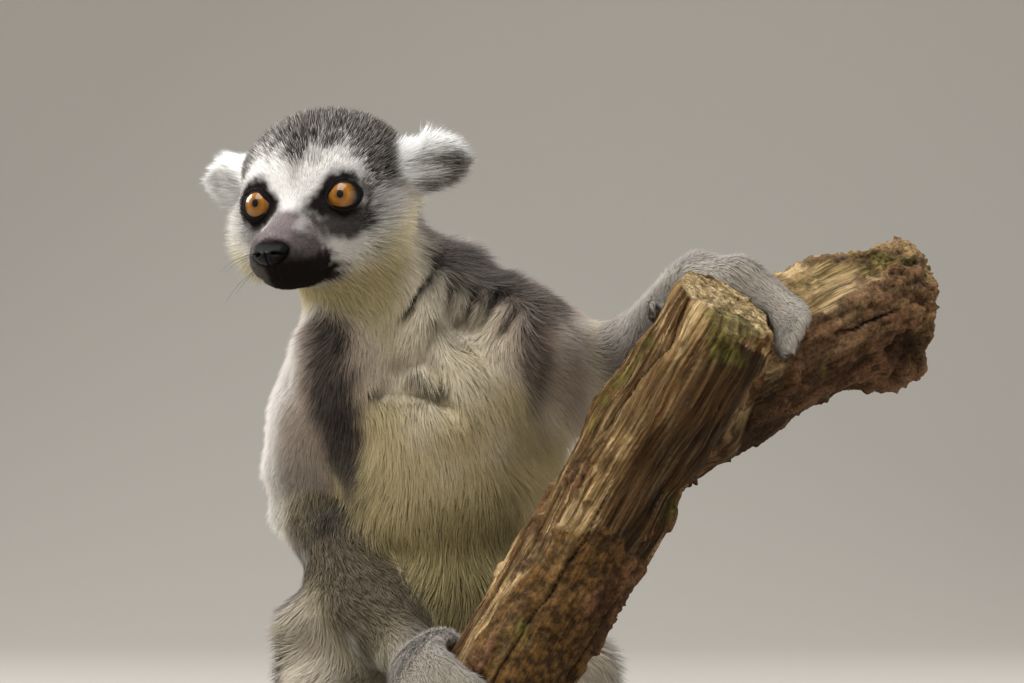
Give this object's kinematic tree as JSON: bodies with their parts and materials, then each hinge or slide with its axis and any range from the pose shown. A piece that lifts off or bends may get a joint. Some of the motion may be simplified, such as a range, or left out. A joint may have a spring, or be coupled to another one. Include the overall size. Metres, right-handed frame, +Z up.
{
  "type": "ring-tailed lemur",
  "caption": "Life-size still ring-tailed lemur, seated upright with both hands on a cut forked branch, tail laid round a flat display base.",
  "frame": {"origin": "centre of the display base's underside, on the floor", "axes": "+Z up, -Y the way the lemur's chest faces, +X the lemur's left"},
  "size_m": [0.3567, 0.344, 0.3328],
  "materials": {
    "pale_fur": "cream to white soft fur, black round the eyes and on the muzzle",
    "grey_fur": "short dense grey fur, charcoal on the shoulders",
    "ringed_fur": "long fur in black and white rings",
    "eye": "glossy amber eye with a small dark pupil",
    "bare_skin": "moist fine-grained black skin",
    "weathered_wood": "weathered barkless wood with bark remnants and some moss",
    "base_wood": "dark satin-varnished hardwood",
    "rod_steel": "brushed"
  },
  "bodies": {
    "root": {"head": "pale_fur", "nose": "bare_skin", "eye_left": "eye", "eye_right": "eye", "ear_left": "pale_fur", "ear_right": "pale_fur", "neck": "pale_fur", "chest": "pale_fur", "belly": "pale_fur", "upper_arm_left": "grey_fur", "upper_arm_right": "grey_fur", "forearm_left": "grey_fur", "forearm_right": "grey_fur", "hand_left": "grey_fur", "hand_right": "grey_fur", "thigh_left": "grey_fur", "thigh_right": "grey_fur", "shin_left": "grey_fur", "shin_right": "grey_fur", "foot_left": "pale_fur", "foot_right": "pale_fur", "tail_1": "ringed_fur", "tail_2": "ringed_fur", "tail_3": "ringed_fur", "tail_4": "ringed_fur", "branch_log": "weathered_wood", "branch_fork": "weathered_wood", "stand_base": "base_wood", "stand_rod_1": "rod_steel", "stand_rod_2": "rod_steel"}
  },
  "joints": []
}
